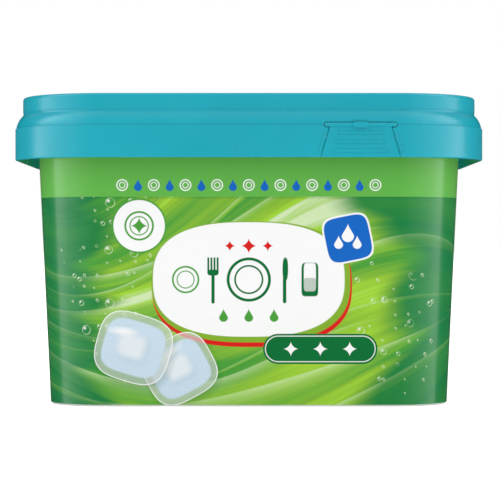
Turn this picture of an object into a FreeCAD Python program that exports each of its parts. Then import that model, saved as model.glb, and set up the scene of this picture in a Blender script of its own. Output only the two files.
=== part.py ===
import FreeCAD, Part
import math
import os
import re

import Sketcher
from FreeCAD import Placement, Rotation, Vector

# Dishwasher tablet tub: a tapered white tub with a label moulded round its wall, a lift-off lid with two press
# tabs, and the wrapped tablets that it holds. Millimetres and degrees. The origin is at the middle of the foot
# ring, +X runs along the long side, and the front faces -Y. Every outline seen from above is the base outline
# moved out by some offset, so the tub, label, lid and tablets all follow the base's width, depth and corners.

SIZES = {
    # Tub
    "base_width": (192.9, "long side of the base"),
    "base_depth": (154.9, "short side of the base"),
    "base_corner": (27.8, "corner radius of the base outline"),
    "wall_angle": (2.8, "how far the walls lean out, degrees"),
    "tub_height": (147.05, "foot to rim"),
    "tub_wall": (1.2, "wall of the tub"),
    "floor_wall": (1.6, "thickness of the tub's floor"),
    "foot_height": (1.2, "foot ring below the floor"),
    "foot_width": (4, "foot ring, outside to inside"),
    "foot_rounding": (0.8, "rounding under the wall"),
    "floor_rounding": (5, "rounding inside, wall to floor"),
    "gate_radius": (4, "dimple where the plastic was injected, under the floor and on the lid"),
    "gate_depth": (0.5, "same dimple"),
    "rim_reach": (5.05, "rim beyond the wall"),
    "rim_lip": (5, "height of the rim's turned-down lip"),
    "rim_rounding": (0.8, "rim's outer edge"),
    "collar_drop": (17.2, "rim to the top of the stiffening collar"),
    "collar_thickness": (1.4, "stiffening collar"),
    "collar_gap": (3, "collar to the lid's skirt"),
    # Label
    "label_film": (0.25, "thickness of the label"),
    "label_bottom": (0.8, "foot to the label's lower edge"),
    "label_margin": (1, "label's upper edge to the collar"),
    "label_seam": (0.6, "gap where the label's ends meet"),
    # Lid
    "lid_wall": (1.2, "skirt, shoulder and band of the lid"),
    "lid_plate": (1.4, "top of the lid"),
    "lid_play": (0.4, "band of the lid to the rim"),
    "band_height": (8.65, "upright band below the lid's top"),
    "shoulder_height": (6.6, "rounded shoulder"),
    "shoulder_reach": (3.75, "skirt beyond the band"),
    "shoulder_radius": (10.5, "curve of the shoulder"),
    "shoulder_drop": (0.5, "inner shoulder below the outer one"),
    "crease_step": (0.4, "step between shoulder and skirt"),
    "groove_depth": (0.2, "fine groove between band and shoulder"),
    "groove_height": (1.6, "same groove, top to bottom"),
    "skirt_height": (15.25, "skirt"),
    "skirt_rounding": (0.8, "skirt's lower edge"),
    "top_rounding": (1.5, "outer edge of the lid's top"),
    "recess_depth": (3.2, "stacking recess in the top"),
    "recess_rounding": (0.8, "edge of the stacking recess"),
    "plug_play": (0.5, "plug ring to the tub's wall at the rim"),
    "plug_depth": (3, "plug ring below the panel"),
    "bead_reach": (0.3, "snap bead under the rim"),
    "bead_height": (1.2, "snap bead, top to bottom"),
    # Press tabs
    "tab_overrun": (2.45, "tab's foot past the start of the front's corner"),
    "tab_top_width": (28.6, "tab at its hinge bar"),
    "tab_bottom_width": (37.4, "tab at the skirt's lower edge"),
    "tab_gap": (0.15, "slit beside the tab"),
    "tab_chamfer": (0.35, "edges of the slit"),
    "bar_length": (33.9, "hinge bar"),
    "bar_radius": (1.05, "hinge bar"),
    "bar_gap": (0.3, "slit round the hinge bar and its boss"),
    "bar_depth": (0.5, "hinge bar's middle behind the skirt's face"),
    "bar_rounding": (0.9, "ends of the hinge bar"),
    "boss_length": (7.7, "oval boss on the hinge bar"),
    "boss_height": (3, "oval boss on the hinge bar"),
    "boss_proud": (0.75, "oval boss before the skirt's face"),
    "grip_height": (1.5, "grip ridge"),
    "grip_proud": (0.5, "grip ridge before the skirt's face"),
    "grip_pitch": (4.2, "one grip ridge to the next"),
    "grip_first": (3.1, "lowest grip ridge above the skirt's lower edge"),
    "grip_margin": (5, "end of a grip ridge to the slit"),
    "rib_inset": (0.5, "slit to the rib beside it on the skirt"),
    "rib_width": (1.3, "rib beside the slit"),
    "rib_proud": (0.35, "rib before the skirt's face"),
    "rib_rounding": (0.3, "rib's outer edges"),
    "rib_foot": (2.5, "rib's lower end above the skirt's lower edge"),
    "rib_drop": (4, "rib's upper end below the hinge bar"),
    # Tablets
    "tablet_length": (36, "wrapped tablet"),
    "tablet_width": (31, "wrapped tablet"),
    "tablet_height": (16.5, "wrapped tablet"),
    "tablet_corner": (6, "cut corner of a wrapped tablet"),
    "tablet_waist": (7, "widest level of a wrapped tablet"),
    "tablet_top_inset": (5.5, "top face inside the waist"),
    "tablet_foot_inset": (6.5, "bottom face inside the waist"),
    "tablet_pitch": (38, "tablet to tablet along the tub"),
    "row_pitch": (37.5, "tablet row to tablet row across the tub"),
    "tablet_play": (0.2, "tablet to the one above"),
    "tablet_wobble": (2.5, "how far a tablet may be turned from square, degrees"),
}

# Places worked out from the sizes. Across is measured from the middle of the tub, up from the foot.
PLACES = {
    "base_edge": "base_width / 2",
    "lean": "tan(wall_angle * 1deg)",
    "lean_across": "cos(wall_angle * 1deg)",
    "lean_up": "sin(wall_angle * 1deg)",
    "foot_centre": "base_edge + lean * foot_rounding - foot_rounding / lean_across",
    "corner_up": "floor_top + floor_rounding",
    "corner_centre": "base_edge - tub_wall + lean * corner_up - floor_rounding / lean_across",
    "floor_top": "foot_height + floor_wall",
    "mouth": "base_edge + lean * tub_height",
    "rim_edge": "mouth + rim_reach",
    "collar_top": "tub_height - collar_drop",
    "collar_bottom": "collar_top - collar_thickness",
    "band": "rim_edge + lid_play + lid_wall",
    "skirt": "band + shoulder_reach",
    "collar_edge": "skirt - lid_wall - collar_gap",
    "lid_top": "tub_height + lid_plate",
    "shoulder_top": "lid_top - band_height",
    "crease": "shoulder_top - shoulder_height",
    "skirt_bottom": "crease - skirt_height",
    "plug": "mouth - tub_wall - plug_play",
    "recess": "plug - lid_plate",
    "panel_top": "lid_top - recess_depth",
    "panel_bottom": "panel_top - lid_plate",
    "bead_top": "tub_height - rim_lip - lid_play / 2",
    "skirt_face": "base_depth / 2 - base_edge + skirt",
    "bar_back": "skirt_face - bar_depth",
    "tab_offset": "base_edge - base_corner + tab_overrun - tab_bottom_width / 2",
    "window_bottom": "skirt_bottom - skirt_height",
    "tab_slant": "(tab_bottom_width - tab_top_width) / (2 * skirt_height)",
    "grip_radius": "(grip_height ^ 2 / 4 + grip_proud ^ 2) / (2 * grip_proud)",
    "label_top": "collar_bottom - label_margin",
}

# An arc leaves a corner of an outline turning left or right.
LEFT = 1
RIGHT = -1
# How far a panel or floor runs into the ring that carries it.
OVERLAP = 1.5
# Two places that are nearer than this count as one.
NEAR = 0.01
GRIP_RIDGES = 3
TABLET_LAYERS = 7
# Tablets in the part-filled top layer.
HEAP_TABLETS = 7
# Successive multiples of this angle never repeat, so the tablets' small turns look chance.
GOLDEN_ANGLE = 137.508


def in_full(text):
    """Spells a formula out, so that it holds only names of sizes."""
    while True:
        longer = re.sub(r"[a-z_]+", lambda word: f"({PLACES[word[0]]})" if word[0] in PLACES else word[0], text)
        if longer == text:
            return text
        text = longer


def from_sheet(text):
    """The same formula as an expression that reads the sheet."""
    return re.sub(r"[a-z_]+", lambda word: f"Sizes.{word[0]}" if word[0] in SIZES else word[0], in_full(text))


def make_sheet(document):
    sheet = document.addObject("Spreadsheet::Sheet", "Sizes")
    for row, (name, (value, note)) in enumerate(SIZES.items(), start=1):
        sheet.set(f"A{row}", name)
        sheet.set(f"B{row}", str(value))
        sheet.set(f"C{row}", note)
        sheet.setAlias(f"B{row}", name)
    document.recompute()
    return sheet


document = FreeCAD.newDocument("tablet_tub")
sheet = make_sheet(document)


def size(text):
    """What a formula comes to, in millimetres."""
    return float(sheet.evalExpression(in_full(text)))


# Sketches

def new_body(name):
    body = document.addObject("PartDesign::Body", name)
    body.Label = name
    return body


def origin_plane(body, role):
    return next(feature for feature in body.Origin.OriginFeatures if feature.Role == role)


def new_sketch(body, name, role, lift="0"):
    """A sketch on one of the body's own planes, lifted off it by a formula."""
    sketch = body.newObject("Sketcher::SketchObject", name)
    sketch.AttachmentSupport = [(origin_plane(body, role), "")]
    sketch.MapMode = "FlatFace"
    sketch.AttachmentOffset = Placement(Vector(0, 0, size(lift)), Rotation())
    sketch.setExpression("AttachmentOffset.Base.z", from_sheet(lift))
    return sketch


def arc_between(start, end, radius, turn):
    """The short arc from start to end that turns left or right. A right-hand arc is stored end first."""
    chord = end - start
    middle = start + chord / 2
    to_centre = Vector(-chord.y, chord.x, 0).normalize() * turn
    centre = middle + to_centre * math.sqrt(max(radius ** 2 - (chord.Length / 2) ** 2, 0))
    first, last = (start, end) if turn == LEFT else (end, start)
    angles = [math.atan2(point.y - centre.y, point.x - centre.x) for point in (first, last)]
    if angles[1] <= angles[0]:
        angles[1] += 2 * math.pi
    return Part.ArcOfCircle(Part.Circle(centre, Vector(0, 0, 1), radius), *angles)


def fix_point(sketch, edge, end, across, up):
    """Ties one end of an edge to two formulas."""
    for kind, text in (("DistanceX", across), ("DistanceY", up)):
        number = sketch.addConstraint(Sketcher.Constraint(kind, -1, 1, edge, end, size(text)))
        sketch.setExpression(f"Constraints[{number}]", from_sheet(text))


def outline(body, name, role, corners, lift="0"):
    """A closed outline. A corner is (across, up), or (across, up, radius, turn) where an arc leaves it."""
    sketch = new_sketch(body, name, role, lift)
    points = [Vector(size(corner[0]), size(corner[1]), 0) for corner in corners]
    edges = []
    for corner, start, end in zip(corners, points, points[1:] + points[:1]):
        if len(corner) == 2:
            edges.append(Part.LineSegment(start, end))
        else:
            edges.append(arc_between(start, end, size(corner[2]), corner[3]))
    sketch.addGeometry(edges, False)
    stored_backwards = [len(corner) == 4 and corner[3] == RIGHT for corner in corners]
    for edge, corner in enumerate(corners):
        start_end = 2 if stored_backwards[edge] else 1
        before_end = 1 if stored_backwards[edge - 1] else 2
        sketch.addConstraint(Sketcher.Constraint("Coincident", (edge - 1) % len(corners), before_end,
                                                 edge, start_end))
        fix_point(sketch, edge, start_end, corner[0], corner[1])
        if len(corner) == 4:
            number = sketch.addConstraint(Sketcher.Constraint("Radius", edge, size(corner[2])))
            sketch.setExpression(f"Constraints[{number}]", from_sheet(corner[2]))
    return sketch


def rounded_outline(body, name, offset, lift="0"):
    """The base outline moved out by an offset, starting where it crosses +X."""
    across = f"(base_width / 2 + {offset})"
    along = f"(base_depth / 2 + {offset})"
    radius = f"(base_corner + {offset})"
    flat = f"({across} - {radius})"
    side = f"({along} - {radius})"
    corners = [
        (across, "0"),
        (across, side, radius, LEFT),
        (flat, along),
        (f"-{flat}", along, radius, LEFT),
        (f"-{across}", side),
        (f"-{across}", f"-{side}", radius, LEFT),
        (f"-{flat}", f"-{along}"),
        (flat, f"-{along}", radius, LEFT),
        (across, f"-{side}"),
    ]
    return outline(body, name, "XY_Plane", corners, lift)


def box_outline(body, name, role, low, high, lift="0"):
    corners = [(low[0], low[1]), (high[0], low[1]), (high[0], high[1]), (low[0], high[1])]
    return outline(body, name, role, corners, lift)


# Features

def sweep(body, name, corners):
    """A section swept once round the base outline. Its corners are given from the middle of the tub."""
    path = rounded_outline(body, f"{name}_path", "0")
    section = outline(body, f"{name}_section", "XZ_Plane", corners)
    pipe = body.newObject("PartDesign::AdditivePipe", name)
    pipe.Profile = (section, [""])
    pipe.Spine = (path, [])
    return pipe


def extrude(kind, body, name, sketch, length, both_ways=False, backwards=False):
    """A pad or pocket whose length is a formula."""
    feature = body.newObject(f"PartDesign::{kind}", name)
    feature.Profile = (sketch, [""])
    feature.SideType = "Symmetric" if both_ways else "One side"
    feature.Reversed = backwards
    feature.Length = size(length)
    feature.setExpression("Length", from_sheet(length))
    return feature


def pad(body, name, sketch, length, **options):
    return extrude("Pad", body, name, sketch, length, **options)


def pocket(body, name, sketch, length, **options):
    """Cuts, and makes sure that something was cut."""
    document.recompute()
    before = body.Shape.Volume
    feature = extrude("Pocket", body, name, sketch, length, **options)
    document.recompute()
    if body.Shape.Volume > before - NEAR:
        raise RuntimeError(f"{name} cuts nothing")
    return feature


def opposite(body, name, features):
    """Repeats features half a turn round the upright axis."""
    pattern = body.newObject("PartDesign::PolarPattern", name)
    pattern.Originals = features
    upright = next(feature for feature in body.Origin.OriginFeatures if feature.Role == "Z_Axis")
    pattern.Axis = (upright, [""])
    pattern.Angle = 360
    pattern.Occurrences = 2
    body.Tip = pattern
    return pattern


def soften(body, name, test, radius, kind="Fillet"):
    """Rounds or bevels the edges of the body's tip that pass a test."""
    document.recompute()
    tip = body.Tip
    edges = [f"Edge{number}" for number, edge in enumerate(tip.Shape.Edges, start=1) if test(edge)]
    if not edges:
        raise RuntimeError(f"{name} finds no edge")
    feature = body.newObject(f"PartDesign::{kind}", name)
    feature.Base = (tip, edges)
    value = "Radius" if kind == "Fillet" else "Size"
    setattr(feature, value, size(radius))
    feature.setExpression(value, from_sheet(radius))
    return feature


# Tub

def outer_wall(up, out="0"):
    """How far the tub's outside is from the middle at a height, plus an offset."""
    return f"(base_edge + lean * ({up}) + {out})"


def make_tub():
    body = new_body("tub")
    foot_inside = "(base_edge - foot_width)"
    floor_inside = f"({foot_inside} - floor_rounding)"
    under_rim = "(tub_height - tub_wall)"
    sweep(body, "shell", [
        (foot_inside, "0"),
        ("foot_centre", "0", "foot_rounding", LEFT),
        ("foot_centre + foot_rounding * lean_across", "foot_rounding * (1 - lean_up)"),
        (outer_wall("collar_bottom"), "collar_bottom"),
        ("collar_edge", "collar_bottom"),
        ("collar_edge", "collar_top"),
        (outer_wall("collar_top"), "collar_top"),
        (outer_wall(under_rim), under_rim),
        ("rim_edge - tub_wall", under_rim),
        ("rim_edge - tub_wall", "tub_height - rim_lip"),
        ("rim_edge", "tub_height - rim_lip"),
        ("rim_edge", "tub_height - rim_rounding", "rim_rounding", LEFT),
        ("rim_edge - rim_rounding", "tub_height"),
        (outer_wall("tub_height", "-tub_wall"), "tub_height"),
        ("corner_centre + floor_rounding * lean_across", "corner_up - floor_rounding * lean_up", "floor_rounding",
         RIGHT),
        ("corner_centre", "floor_top"),
        (floor_inside, "floor_top"),
        (floor_inside, "foot_height"),
        (foot_inside, "foot_height"),
    ])
    floor = rounded_outline(body, "floor_outline", f"(-foot_width - floor_rounding + {OVERLAP})", "foot_height")
    pad(body, "floor", floor, "floor_wall")
    gate = disc(body, "gate_outline", "XY_Plane", "0", "0", "gate_radius", "foot_height")
    pocket(body, "gate", gate, "gate_depth", backwards=True)
    return body


# Label

def make_label():
    body = new_body("label")
    sweep(body, "sleeve", [
        (outer_wall("label_bottom"), "label_bottom"),
        (outer_wall("label_bottom", "label_film"), "label_bottom"),
        (outer_wall("label_top", "label_film"), "label_top"),
        (outer_wall("label_top"), "label_top"),
    ])
    seam = box_outline(body, "seam_outline", "XY_Plane", ("-label_seam / 2", "base_depth / 4"),
                       ("label_seam / 2", "base_depth"))
    pocket(body, "seam", seam, "tub_height", backwards=True)
    return body


# Lid

def make_lid():
    body = new_body("lid")
    inner_band = "(band - lid_wall)"
    panel_inside = "(recess - lid_plate * 2)"
    sweep(body, "shell", [
        ("skirt - lid_wall", "skirt_bottom"),
        ("skirt - skirt_rounding", "skirt_bottom", "skirt_rounding", LEFT),
        ("skirt", "skirt_bottom + skirt_rounding"),
        ("skirt", "crease"),
        ("skirt - crease_step", "crease", "shoulder_radius", LEFT),
        ("band", "shoulder_top"),
        ("band - groove_depth", "shoulder_top + groove_height / 2"),
        ("band", "shoulder_top + groove_height"),
        ("band", "lid_top - top_rounding", "top_rounding", LEFT),
        ("band - top_rounding", "lid_top"),
        ("recess + recess_rounding", "lid_top", "recess_rounding", LEFT),
        ("recess", "lid_top - recess_rounding"),
        ("recess", "panel_top"),
        (panel_inside, "panel_top"),
        (panel_inside, "panel_bottom"),
        ("recess", "panel_bottom"),
        ("recess", "panel_bottom - plug_depth"),
        ("plug", "panel_bottom - plug_depth"),
        ("plug", "tub_height"),
        (inner_band, "tub_height"),
        (inner_band, "bead_top"),
        (f"{inner_band} - bead_reach", "bead_top - bead_height / 3"),
        (f"{inner_band} - bead_reach", "bead_top - bead_height * 2 / 3"),
        (inner_band, "shoulder_top - shoulder_drop", "shoulder_radius", RIGHT),
        ("skirt - lid_wall", "crease - shoulder_drop"),
    ])
    panel = rounded_outline(body, "panel_outline", f"({panel_inside} - base_edge + {OVERLAP})", "panel_bottom")
    pad(body, "panel", panel, "lid_plate")
    gate = disc(body, "gate_outline", "XY_Plane", "0", "0", "gate_radius", "panel_top")
    pocket(body, "gate", gate, "gate_depth")
    openings = [
        front_cut(body, "tab_window", tab_outline(body, "tab_window_outline", "tab_gap", "window_bottom")),
        front_cut(body, "bar_slot", stadium(body, "bar_slot_outline", "bar_length", "bar_radius", "bar_gap")),
        front_cut(body, "boss_slot", stadium(body, "boss_slot_outline", "boss_length", "boss_height / 2", "bar_gap")),
    ]
    opposite(body, "rear_tab_openings", openings)
    soften(body, "window_edges", slit_edge, "tab_chamfer", "Chamfer")
    ribs = [add_rib(body, "left_rib", "-1"), add_rib(body, "right_rib", "1")]
    opposite(body, "rear_ribs", ribs)
    soften(body, "rib_edges", rib_edge, "rib_rounding")
    return body


def front_cut(body, name, sketch):
    """Cuts through the skirt and the shoulder's foot from the front."""
    return pocket(body, name, sketch, "skirt_height / 2 + bar_depth + bar_radius * 2 + bar_gap")


def add_rib(body, name, side):
    """A rib on the skirt that runs beside a slit. Its upper end is cut at a slant."""
    low = "(skirt_bottom + rib_foot)"
    high = "(crease - rib_drop)"
    outer_high = f"({high} + rib_width / 2)"

    def across(up, out):
        half = f"(tab_bottom_width / 2 + tab_gap - tab_slant * ({up} - skirt_bottom))"
        return f"tab_offset + {side} * ({half} + rib_inset + {out})"

    plan = outline(body, f"{name}_outline", "XZ_Plane", [
        (across(low, "0"), low),
        (across(low, "rib_width"), low),
        (across(outer_high, "rib_width"), outer_high),
        (across(high, "0"), high),
    ], "skirt_face + rib_proud")
    return pad(body, name, plan, "rib_proud + lid_wall / 2", backwards=True)


def rib_edge(edge):
    """The edges of the ribs' outer faces."""
    box = edge.BoundBox
    proud = abs(abs(box.Center.y) - size("skirt_face + rib_proud")) < NEAR
    return proud and box.YLength < NEAR


def tab_outline(body, name, gap, bottom):
    """The tab's slanted plate seen from the front, grown by a gap. Below the skirt its sides run straight down."""
    half_top = f"(tab_top_width / 2 + {gap})"
    half_bottom = f"(tab_bottom_width / 2 + {gap})"
    corners = [
        (f"tab_offset + {half_bottom}", "skirt_bottom"),
        (f"tab_offset + {half_top}", "crease"),
        (f"tab_offset - {half_top}", "crease"),
        (f"tab_offset - {half_bottom}", "skirt_bottom"),
    ]
    if bottom != "skirt_bottom":
        corners += [(f"tab_offset - {half_bottom}", bottom), (f"tab_offset + {half_bottom}", bottom)]
    return outline(body, name, "XZ_Plane", corners, "skirt_face + skirt_height / 2")


def stadium(body, name, length, radius, gap, lift="skirt_face + skirt_height / 2"):
    """A slot with round ends along the hinge bar, grown by a gap."""
    end = f"(({length}) / 2 + {gap})"
    bend = f"({radius} + {gap})"
    corners = [
        (f"tab_offset - {end} + {bend}", f"crease - {bend}"),
        (f"tab_offset + {end} - {bend}", f"crease - {bend}", bend, LEFT),
        (f"tab_offset + {end}", "crease", bend, LEFT),
        (f"tab_offset + {end} - {bend}", f"crease + {bend}"),
        (f"tab_offset - {end} + {bend}", f"crease + {bend}", bend, LEFT),
        (f"tab_offset - {end}", "crease", bend, LEFT),
    ]
    return outline(body, name, "XZ_Plane", corners, lift)


def slit_edge(edge):
    """The slanted edges beside the press tabs, on the outside of the skirt."""
    middle = edge.valueAt((edge.FirstParameter + edge.LastParameter) / 2)
    box = edge.BoundBox
    slanted = box.XLength > NEAR and box.ZLength > size("skirt_height / 2")
    beside_tab = abs(abs(middle.x) - size("tab_offset")) < size("tab_bottom_width / 2 + tab_gap * 2")
    outside = abs(abs(middle.y) - size("skirt_face")) < size("lid_wall / 4")
    return slanted and beside_tab and outside and middle.z < size("crease - bar_radius")


# Press tabs

def make_press_tab(name, turn):
    """The front tab, turned about the upright axis into its place."""
    body = new_body(name)
    plate = outline(body, "plate_outline", "XZ_Plane", [
        ("tab_offset + tab_bottom_width / 2", "skirt_bottom"),
        ("tab_offset + tab_top_width / 2", "crease"),
        ("tab_offset - tab_top_width / 2", "crease"),
        ("tab_offset - tab_bottom_width / 2", "skirt_bottom"),
    ], "skirt_face")
    pad(body, "plate", plate, "lid_wall", backwards=True)
    soften(body, "plate_sides", slit_edge, "tab_chamfer", "Chamfer")
    soften(body, "plate_foot", foot_edge, "skirt_rounding")
    bar = disc(body, "bar_outline", "YZ_Plane", "-bar_back", "crease", "bar_radius", "tab_offset")
    pad(body, "hinge_bar", bar, "bar_length", both_ways=True)
    soften(body, "bar_ends", bar_end, "bar_rounding")
    boss = stadium(body, "boss_outline", "boss_length", "boss_height / 2", "0", "skirt_face + boss_proud")
    pad(body, "boss", boss, "boss_proud + bar_depth + bar_radius / 2", backwards=True)
    for ridge in range(GRIP_RIDGES):
        add_grip(body, ridge)
    body.Placement = Placement(Vector(), Rotation(Vector(0, 0, 1), turn))
    return body


def foot_edge(edge):
    """The lower outside edge of a tab's plate."""
    box = edge.BoundBox
    at_foot = box.ZMax < size("skirt_bottom") + NEAR
    outside = box.YMax < -size("skirt_face") + NEAR
    return at_foot and outside and box.XLength > size("tab_bottom_width / 2")


def bar_end(edge):
    """The circle round either end of the hinge bar."""
    box = edge.BoundBox
    at_end = abs(abs(box.Center.x - size("tab_offset")) - size("bar_length / 2")) < NEAR
    return at_end and box.XLength < NEAR


def disc(body, name, role, across, up, radius, lift):
    sketch = new_sketch(body, name, role, lift)
    centre = Vector(size(across), size(up), 0)
    sketch.addGeometry(Part.Circle(centre, Vector(0, 0, 1), size(radius)), False)
    fix_point(sketch, 0, 3, across, up)
    number = sketch.addConstraint(Sketcher.Constraint("Radius", 0, size(radius)))
    sketch.setExpression(f"Constraints[{number}]", from_sheet(radius))
    return sketch


def add_grip(body, ridge):
    """One grip ridge across the plate, a little wider than the one above it."""
    above_foot = f"(grip_first + grip_pitch * {ridge})"
    middle = f"(skirt_bottom + {above_foot})"
    buried = "(-skirt_face + lid_wall / 2)"
    section = outline(body, f"grip_outline_{ridge}", "YZ_Plane", [
        ("-skirt_face", f"{middle} - grip_height / 2", "grip_radius", RIGHT),
        ("-skirt_face", f"{middle} + grip_height / 2"),
        (buried, f"{middle} + grip_height / 2"),
        (buried, f"{middle} - grip_height / 2"),
    ], "tab_offset")
    taper = f"(tab_bottom_width - tab_top_width) * {above_foot} / skirt_height"
    return pad(body, f"grip_{ridge}", section, f"tab_bottom_width - {taper} - grip_margin * 2", both_ways=True)


# Tablets

def make_tablet():
    """One wrapped tablet: a pillow with cut corners and flat faces that lean in above and below its waist."""
    body = new_body("tablet")
    along = "(tablet_length / 2)"
    wide = "(tablet_width / 2)"
    waist = outline(body, "waist", "XY_Plane", [
        (along, f"-({wide} - tablet_corner)"),
        (along, f"{wide} - tablet_corner"),
        (f"{along} - tablet_corner", wide),
        (f"-({along} - tablet_corner)", wide),
        (f"-{along}", f"{wide} - tablet_corner"),
        (f"-{along}", f"-({wide} - tablet_corner)"),
        (f"-({along} - tablet_corner)", f"-{wide}"),
        (f"{along} - tablet_corner", f"-{wide}"),
    ], "tablet_waist")
    pillow = pad(body, "pillow", waist, "tablet_height - tablet_waist")
    pillow.SideType = "Two sides"
    leans = (
        ("Length2", "tablet_waist"),
        ("TaperAngle", "-atan(tablet_top_inset / (tablet_height - tablet_waist))"),
        ("TaperAngle2", "-atan(tablet_foot_inset / tablet_waist)"),
    )
    for name, text in leans:
        pillow.setExpression(name, from_sheet(text))
    return body


def row_places():
    """Where tablets stand in one layer: as many rows, and as many in each, as the floor's outline has room for."""
    longest = max(size("tablet_length"), size("tablet_width"))
    half_length = size("base_edge - tub_wall + lean * floor_top")
    half_depth = size("base_depth / 2 - tub_wall + lean * floor_top")
    corner = size("base_corner - tub_wall")
    rows = math.floor((2 * half_depth - longest) / size("row_pitch")) + 1
    places = []
    for row in range(rows):
        y = (row - (rows - 1) / 2) * size("row_pitch")
        into_corner = abs(y) + longest / 2 - (half_depth - corner)
        free = half_length
        if into_corner > 0:
            free += math.sqrt(max(corner ** 2 - into_corner ** 2, 0)) - corner
        columns = math.floor((2 * free - longest) / size("tablet_pitch")) + 1
        for column in range(columns):
            places.append(((column - (columns - 1) / 2) * size("tablet_pitch"), y, row + column))
    return places


def make_layers(tablet):
    """The layers of tablets from the floor up. The top one is part-filled, to one side."""
    places = row_places()
    heap = Vector(-size("tablet_pitch"), size("row_pitch") / 2, 0)
    nearest = sorted(places, key=lambda place: round((Vector(place[0], place[1], 0) - heap).Length, 3))
    layers = []
    for number in range(1, TABLET_LAYERS + 1):
        up = size("floor_top") + (number - 1) * size("tablet_height + tablet_play")
        filled = places if number < TABLET_LAYERS else nearest[:HEAP_TABLETS]
        shapes = []
        for index, (x, y, square) in enumerate(filled):
            wobble = size("tablet_wobble") * math.sin(math.radians(GOLDEN_ANGLE * (index + number * len(places))))
            turn = 90 * ((square + number) % 2) + wobble
            copy = tablet.Shape.copy()
            copy.Placement = Placement(Vector(x, y, up), Rotation(Vector(0, 0, 1), turn))
            shapes.append(copy)
        layer = document.addObject("Part::Feature", f"tablets_layer_{number}")
        layer.Label = f"tablets_layer_{number}"
        layer.Shape = Part.makeCompound(shapes)
        layer.Placement = Placement()
        layers.append(layer)
    return layers


# Build and write

def check(parts):
    for thing in document.Objects:
        if any(state in thing.State for state in ("Invalid", "Error")):
            raise RuntimeError(f"{thing.Label} is {thing.State}")
    for part in parts:
        if part.Shape.isNull() or not part.Shape.isValid():
            raise RuntimeError(f"{part.Label} has no valid shape")


def write(parts):
    os.makedirs("parts", exist_ok=True)
    for part in parts:
        part.Shape.exportStep(f"parts/{part.Label}.step")
        print(part.Label, len(part.Shape.Solids), "solids", round(part.Shape.Volume), "mm3")


tablet = make_tablet()
document.recompute()
parts = [
    make_tub(),
    make_label(),
    make_lid(),
    make_press_tab("front_press_tab", 0),
    make_press_tab("rear_press_tab", 180),
] + make_layers(tablet)
document.recompute()
check(parts)
write(parts)
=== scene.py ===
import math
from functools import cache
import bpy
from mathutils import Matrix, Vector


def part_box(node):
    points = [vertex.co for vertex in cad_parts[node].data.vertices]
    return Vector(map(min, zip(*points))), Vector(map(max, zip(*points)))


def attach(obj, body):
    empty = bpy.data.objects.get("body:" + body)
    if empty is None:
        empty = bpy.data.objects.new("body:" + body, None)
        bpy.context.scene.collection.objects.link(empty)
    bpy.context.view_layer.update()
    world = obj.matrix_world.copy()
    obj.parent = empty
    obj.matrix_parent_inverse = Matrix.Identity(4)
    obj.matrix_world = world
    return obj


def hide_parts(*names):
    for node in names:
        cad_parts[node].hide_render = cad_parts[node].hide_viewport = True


bl_info = {
    "name": "Tablet Tub",
    "version": (1, 0, 0),
    "blender": (4, 5, 0),
    "location": "3D View > Sidebar > Tablet Tub",
    "description": "Dresses a dishwasher tablet tub: moulded plastics, a printed label and wrapped tablets",
    "category": "Object",
}

from types import SimpleNamespace

import bmesh
import bpy
from bpy.props import FloatProperty, FloatVectorProperty, IntProperty, PointerProperty
from mathutils import Vector

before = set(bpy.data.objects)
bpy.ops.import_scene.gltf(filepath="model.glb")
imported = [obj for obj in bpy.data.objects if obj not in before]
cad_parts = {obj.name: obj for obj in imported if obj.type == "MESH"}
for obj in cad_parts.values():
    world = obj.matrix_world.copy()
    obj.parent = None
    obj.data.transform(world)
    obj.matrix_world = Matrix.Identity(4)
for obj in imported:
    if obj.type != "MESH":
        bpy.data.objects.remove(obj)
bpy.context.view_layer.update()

MM = 0.001
QUARTER = math.pi / 2
LAYERS = sorted(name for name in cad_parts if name.startswith("tablets_layer"))

# Nodes


def reckoning(operation, backwards=False):
    """A method that reckons with a term and with what else it is given."""

    def method(term, *others):
        values = (*others, term) if backwards else (term, *others)
        return reckon(term.tree, operation, *values)

    return method


class Term:
    """A number in a node tree, so that a formula can be written as one."""

    def __init__(self, tree, socket):
        self.tree = tree
        self.socket = socket

    __add__ = reckoning("ADD")
    __radd__ = reckoning("ADD", backwards=True)
    __sub__ = reckoning("SUBTRACT")
    __rsub__ = reckoning("SUBTRACT", backwards=True)
    __mul__ = reckoning("MULTIPLY")
    __rmul__ = reckoning("MULTIPLY", backwards=True)
    __truediv__ = reckoning("DIVIDE")
    __rtruediv__ = reckoning("DIVIDE", backwards=True)
    __pow__ = reckoning("POWER")
    __abs__ = reckoning("ABSOLUTE")
    least = reckoning("MINIMUM")
    most = reckoning("MAXIMUM")
    sine = reckoning("SINE")
    cosine = reckoning("COSINE")
    root = reckoning("SQRT")
    # What is left over after whole cells, from 0 to the cell's width
    rest = reckoning("FLOORED_MODULO")
    # 1 where this is greater than the other, and 0 elsewhere
    over = reckoning("GREATER_THAN")

    def __neg__(self):
        return self * -1

    def clamped(self):
        return reckon(self.tree, "ADD", self, 0, clamp=True)

    def rises(self, start, fade):
        """0 up to a start, and 1 from a fade past it."""
        return ((self - start) / fade).clamped()

    def falls(self, end, fade):
        """1 until a fade before an end, and 0 from the end on."""
        return ((end - self) / fade).clamped()

    def inked(self, softness):
        """1 where a distance to an outline is negative, and 0 outside, with a soft edge."""
        return (0.5 - self / softness).clamped()


def plug(tree, value, socket):
    """Links a socket, or sets its value."""
    if isinstance(value, Term):
        value = value.socket
    if isinstance(value, bpy.types.NodeSocket):
        tree.links.new(value, socket)
    else:
        socket.default_value = value


def reckon(tree, operation, *values, clamp=False):
    """One step of a sum, on numbers or terms."""
    made = tree.nodes.new("ShaderNodeMath")
    made.operation = operation
    made.use_clamp = clamp
    for value, socket in zip(values, made.inputs):
        plug(tree, value, socket)
    return Term(tree, made.outputs[0])


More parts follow.
